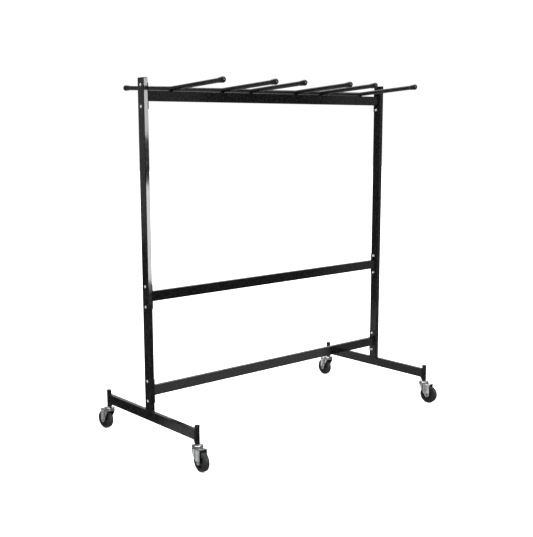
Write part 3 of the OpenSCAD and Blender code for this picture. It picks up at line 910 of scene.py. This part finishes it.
def tyre(corner):
    """Moulded tyre: crowned tread with a parting line, round shoulders and two rings on each side."""
    place, trail = corner_place(corner)
    axle = place @ at(trail, 0, AXLE_Z) @ turned(90, "X")
    shoulder = 0.008
    half = TREAD_HALF_W
    tread_r = WHEEL_R - 0.0002
    side = [
        (CORE_R, half - 0.0035), (CORE_R + 0.0008, half - 0.0012), (CORE_R + 0.0020, half - 0.0002),
        (CORE_R + 0.0032, half), (CORE_R + 0.0038, half - 0.0007), (CORE_R + 0.0048, half - 0.0007),
        (CORE_R + 0.0054, half), (CORE_R + 0.0070, half),
        *arc(tread_r - shoulder, half - shoulder, shoulder, 86, 8, 10),
        (tread_r, 0.0040), (tread_r, 0.0006), (WHEEL_R, 0.0003),
    ]
    profile = side + [(r, -z) for r, z in side[::-1]]
    form = Form()
    form.lathe(profile, axle, steps=96, looped=True)
    form.piece(
        f"{corner}_tyre_moulding", tyre_rubber(corner), f"{corner}_wheel", f"{corner}_tyre",
        slot="tyre_rubber",
    )


def dress_kept_nodes():
    """The CAD nodes that stay get their materials."""
    kept = {"socket_inserts": PLASTIC, "caster_stems": ZINC, "grip_rings": ZINC}
    for corner in CORNERS:
        kept[f"{corner}_bearing_balls"] = BEARING
        kept[f"{corner}_axle_sleeve"] = ZINC
    for name, material in kept.items():
        node = frame["nodes"][name]
        node.data.materials.clear()
        node.data.materials.append(material)


def build_rack():
    uprights()
    upright_plugs()
    foot_beams()
    rails()
    rail_flanges()
    sockets()
    socket_caps()
    socket_gussets()
    foot_welds()
    rail_welds()
    frame_bolts()
    frame_nuts()
    hanging_arms()
    arm_end_caps()
    arm_welds()
    race_cups()
    for corner in CORNERS:
        fork(corner)
        axle_fasteners(corner)
        wheel_core(corner)
        tyre(corner)
    dress_kept_nodes()


# Studio


CAMERA_PLACE = Vector((-3.1961, -3.5072, 1.5298))
CAMERA_YAW = math.radians(38.607)
CAMERA_PITCH = math.radians(9.359)
CAMERA_ROLL = math.radians(-0.603)
SENSOR_MM = 36
LENS_MM = 59.36
CAMERA_SHIFT = (0.0931, 0.0246)


def camera():
    """Camera at the photograph's viewing angle. The fit puts its axis away from the picture's middle."""
    data = bpy.data.cameras.new("camera")
    data.sensor_width = SENSOR_MM
    data.lens = LENS_MM
    data.shift_x, data.shift_y = CAMERA_SHIFT
    data.clip_end = 100
    made = bpy.data.objects.new("camera", data)
    turn = Matrix.Rotation(-CAMERA_YAW, 4, "Z") @ Matrix.Rotation(math.pi / 2 - CAMERA_PITCH, 4, "X")
    made.matrix_world = Matrix.Translation(CAMERA_PLACE) @ turn @ Matrix.Rotation(CAMERA_ROLL, 4, "Z")
    bpy.context.scene.collection.objects.link(made)
    bpy.context.scene.camera = made


def panel(name, place, target, width, height, radiance):
    """A soft rectangular light that faces target. radiance is how bright its face looks."""
    data = bpy.data.lights.new(name, "AREA")
    data.shape = "RECTANGLE"
    data.size = width
    data.size_y = height
    data.energy = radiance * width * height * math.pi
    made = bpy.data.objects.new(name, data)
    made.location = place
    made.rotation_mode = "QUATERNION"
    made.rotation_quaternion = (Vector(target) - Vector(place)).to_track_quat("-Z", "Y")
    made.visible_camera = False
    bpy.context.scene.collection.objects.link(made)
    return made


def show_only_in(light, pieces):
    """The light only gives reflections, and only in the named pieces."""
    light.visible_diffuse = False
    receivers = bpy.data.collections.new(f"{light.name}_receivers")
    for piece in pieces:
        receivers.objects.link(bpy.data.objects[piece])
    light.light_linking.receiver_collection = receivers


def mirrored_box(name, x_span, z_span, radiance, *pieces):
    """A light beside the camera, which front faces in x_span and z_span mirror to the camera."""
    x_low, x_high = (2 * x - CAMERA_PLACE.x for x in x_span)
    z_low, z_high = (2 * z - CAMERA_PLACE.z for z in z_span)
    place = Vector(((x_low + x_high) / 2, CAMERA_PLACE.y, (z_low + z_high) / 2))
    made = panel(name, place, place + Vector((0, 1, 0)), x_high - x_low, z_high - z_low, radiance)
    show_only_in(made, pieces)


def lights():
    """One plain box overhead. The others only show in the pieces given with them: two that the left
    upright mirrors, and glows for the bottom rail, the casters and the ball ends."""
    panel("overhead_box", place=(0.4, 0.9, 3.6), target=(0, 0, 0.9), width=3.0, height=2.2, radiance=1.6)
    beside_left = (-UPRIGHT_X - 0.4, -UPRIGHT_X + 0.4)
    mirrored_box("upper_front_box", beside_left, (1.53, 1.86), 11, "left_upright_tube")
    mirrored_box("lower_front_box", beside_left, (0.84, 1.31), 14, "left_upright_tube")
    mirrored_box("low_glow", (-1.0, 0.4), (0.0, 0.42), 0.6, "bottom_rail_tube", "bottom_rail_flange_plates")

    sheets = {corner: f"{corner}_fork_sheet" for corner in CORNERS}
    lit_legs = [sheets["front_left"], sheets["front_right"], sheets["back_right"]]
    crowns = [f"{corner}_fork_race" for corner in CORNERS] + ["caster_race_cup_set", *sheets.values()]
    tyres = [f"{corner}_tyre_moulding" for corner in CORNERS]
    near_floor = Vector((0, 0, 0.1))
    among_arms = (0, 0, 1.8)
    glows = (
        # name, place, target, width, height, radiance, pieces
        ("leg_glow", (-5.2, 3.6, -1.7), near_floor, 9, 1.8, 0.4, lit_legs),
        ("front_glow", (-4.2, -4.6, -1.6), near_floor, 4, 1.8, 0.5, sheets.values()),
        ("crown_glow", (4.8, 5.2, 2.3), near_floor, 7, 2.6, 0.7, crowns),
        ("shoulder_glow", (0.2, 0.3, 3.5), near_floor, 3.2, 2.4, 2.2, crowns),
        ("tread_glow", (3.2, -4.4, 2.0), near_floor, 1.6, 3.6, 7, tyres),
        ("ball_glow", (0.2, -5.5, 2.0), among_arms, 1.4, 1.8, 25, ["arm_ball_ends"]),
    )
    for *light, pieces in glows:
        show_only_in(panel(*light), pieces)


# How bright the parts of the mirrored studio are

DARK_ROOM = 0.05
NEAR_PAPER = 0.1
FAR_PAPER = 0.6
DIM_WALL = 0.3
BRIGHT_WALL = 0.95
FALLEN_WALL = 0.35
LEFT_WALL = 0.35
SCREEN = 0.25
CEILING = 1.8
DIFFUSE_LIGHT = 2.0
WHITE_GROUND = 1.02


def studio_world():
    """White to the camera and even white for diffuse light. What the object mirrors is a studio that
    differs by direction, with brightnesses fitted to the photograph's angle."""
    world = bpy.data.worlds.new("studio")
    bpy.context.scene.world = world
    world.use_nodes = True
    tree = world.node_tree
    tree.nodes.clear()

    def node(kind, inputs=(), **settings):
        made = tree.nodes.new("ShaderNode" + kind)
        for key, value in settings.items():
            setattr(made, key, value)
        for key, value in dict(inputs).items():
            if isinstance(value, bpy.types.NodeSocket):
                tree.links.new(value, made.inputs[key])
            else:
                made.inputs[key].default_value = value
        return made

    def maths(operation, a, b):
        return node("Math", {0: a, 1: b}, operation=operation).outputs["Value"]

    def ramp(value, low, high, to_low=0.0, to_high=1.0):
        inputs = {"Value": value, "From Min": low, "From Max": high, "To Min": to_low, "To Max": to_high}
        return node("MapRange", inputs, interpolation_type="SMOOTHSTEP").outputs["Result"]

    def product(first, *others):
        for other in others:
            first = maths("MULTIPLY", first, other)
        return first

    direction = node("SeparateXYZ", {"Vector": node("TexCoord").outputs["Generated"]})
    right, back, up = (direction.outputs[axis] for axis in "XYZ")
    slant = maths("ADD", up, maths("MULTIPLY", back, 0.95))
    aside = maths("ADD", right, back)
    front = ramp(back, -0.3, -0.1, 1, 0)
    parts = (
        # Paper on the floor, on the camera's side and behind
        product(ramp(up, -0.3, -0.12, NEAR_PAPER, 0), ramp(right, 0.1, 0.35, 1, 0), front),
        product(
            ramp(slant, 0.405, 0.435, FAR_PAPER, 0),
            ramp(slant, 0.36, 0.4, 0.6, 1),
            ramp(back, 0.25, 0.4),
            ramp(up, -0.14, -0.1, 1, 0),
        ),
        # Wall behind: dim near the floor, bright above it, dim again higher up
        product(ramp(back, 0.7, 0.78), ramp(up, -0.13, -0.1, 0, DIM_WALL), ramp(up, 0.3, 0.4, 1, 0.15)),
        product(
            ramp(back, 0.3, 0.6),
            ramp(right, 0.0, 0.35),
            ramp(up, 0.06, 0.14),
            ramp(up, 0.2, 0.27, BRIGHT_WALL, FALLEN_WALL),
            ramp(up, 0.34, 0.45, 1, 0.2),
        ),
        # Wall on the right, which the foot tops also mirror, and a wall on the far left
        product(
            ramp(right, 0.2, 0.5),
            ramp(back, -0.1, 0.3),
            ramp(up, -0.2, 0.0, 0, DIM_WALL),
            ramp(up, 0.1, 0.4, 1, 0.3),
        ),
        product(ramp(right, -0.98, -0.88, LEFT_WALL, 0), ramp(up, -0.2, 0.0), ramp(up, 0.1, 0.4, 1, 0.3)),
        # Two dim screens in front, one on each side of a dark gap
        product(ramp(aside, 0.0, 0.03, 0, SCREEN), front),
        product(ramp(aside, -0.2, -0.16, SCREEN, 0), ramp(up, -0.05, 0), front),
        # Ceiling
        ramp(up, 0.72, 0.95, 0.0, CEILING),
    )
    mirrored = DARK_ROOM
    for part in parts:
        mirrored = maths("ADD", part, mirrored)
    path = node("LightPath")
    diffuse = maths("MULTIPLY", path.outputs["Is Diffuse Ray"], DIFFUSE_LIGHT)
    not_diffuse = maths("SUBTRACT", 1.0, path.outputs["Is Diffuse Ray"])
    strength = maths("ADD", diffuse, maths("MULTIPLY", not_diffuse, mirrored))
    seen = {0: path.outputs["Is Camera Ray"], 2: strength, 3: WHITE_GROUND}
    strength = node("Mix", seen).outputs[0]
    shader = node("Background", {"Color": (1, 1, 1, 1), "Strength": strength})
    output = node("OutputWorld", {"Surface": shader.outputs["Background"]})
    output.is_active_output = True


def floor():
    """Plain pale floor that glows a little. The object doesn't mirror it, and it casts no shadow."""
    half = 30
    mesh = bpy.data.meshes.new("floor")
    outline = [(-half, -half, 0), (half, -half, 0), (half, half, 0), (-half, half, 0)]
    mesh.from_pydata(outline, [], [(0, 1, 2, 3)])
    made = bpy.data.objects.new("floor", mesh)
    material = bpy.data.materials.new("pale_floor")
    material.use_nodes = True
    shader = material.node_tree.nodes["Principled BSDF"]
    shader.inputs["Base Color"].default_value = (0.93, 0.93, 0.93, 1)
    shader.inputs["Roughness"].default_value = 0.8
    shader.inputs["Specular IOR Level"].default_value = 0.1
    shader.inputs["Emission Color"].default_value = (1, 1, 1, 1)
    shader.inputs["Emission Strength"].default_value = 0.4
    mesh.materials.append(material)
    made.visible_glossy = False
    made.visible_shadow = False
    bpy.context.scene.collection.objects.link(made)


build_rack()
camera()
lights()
studio_world()
floor()
bpy.context.scene.view_settings.view_transform = "Standard"
